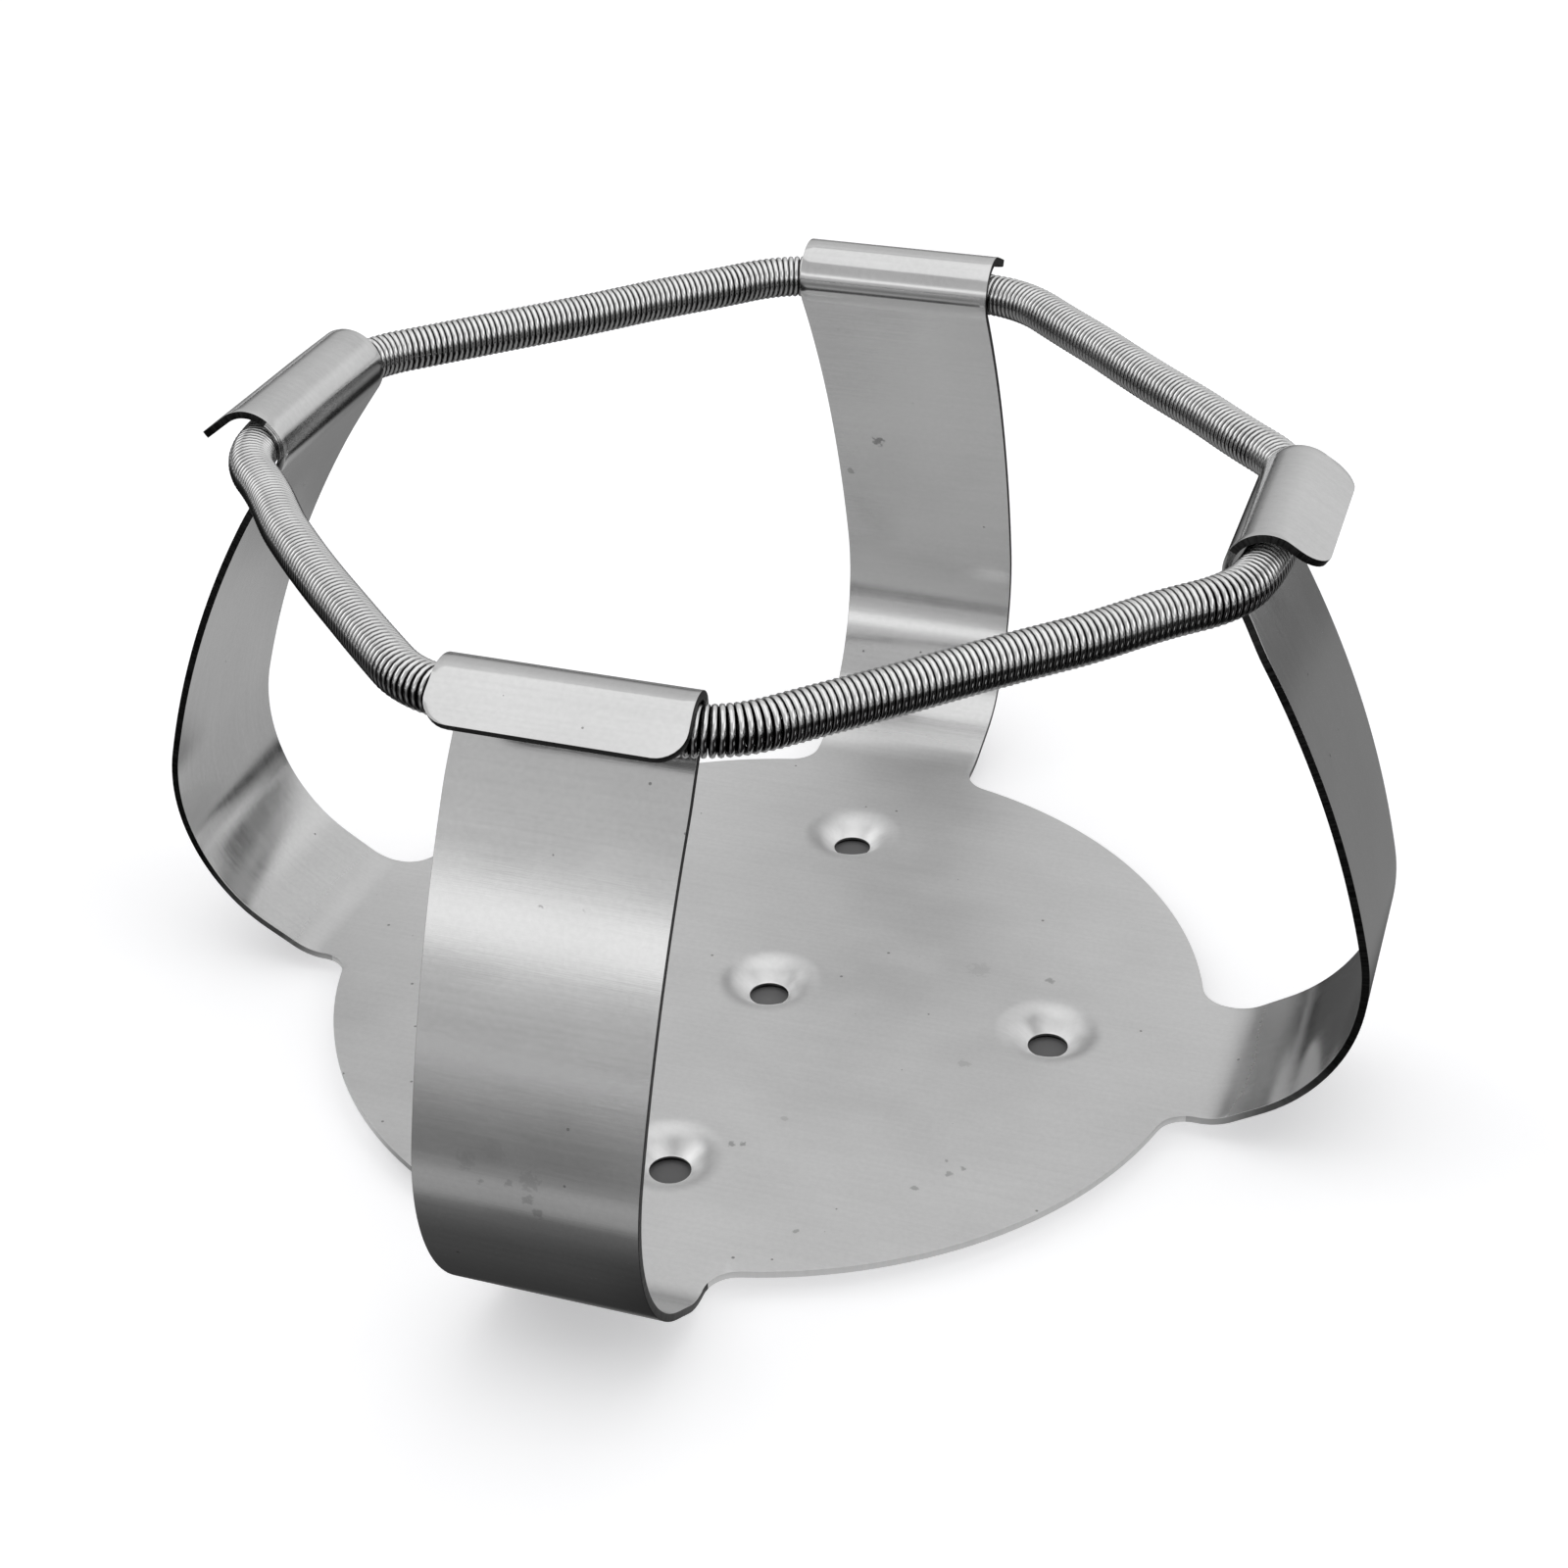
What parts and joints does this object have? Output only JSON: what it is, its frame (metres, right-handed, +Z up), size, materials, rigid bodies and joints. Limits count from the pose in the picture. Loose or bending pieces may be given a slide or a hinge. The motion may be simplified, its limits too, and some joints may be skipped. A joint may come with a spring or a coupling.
{
  "type": "shaker flask clamp",
  "caption": "Spring-held clamp that grips a conical flask on a shaker platform: a round screw-down plate with bent arms, and a closed coil spring lying in the hooks at their ends.",
  "frame": {"origin": "on the clamp's axis, in the plane of the dimples' feet, which is the plane of the shaker platform", "axes": "+Z up along the clamp's axis, out of the flask's mouth; the arms stand at +X, +Y, -X and -Y"},
  "size_m": [0.1346, 0.1346, 0.0707],
  "materials": {
    "sheet_steel": "satin rolled stainless sheet with a fine straight grain, light scuffs and small stains",
    "spring_steel": "bright drawn stainless spring wire, close wound"
  },
  "bodies": {
    "root": {"clamp_body": "sheet_steel", "garter_spring": "spring_steel"}
  },
  "joints": []
}
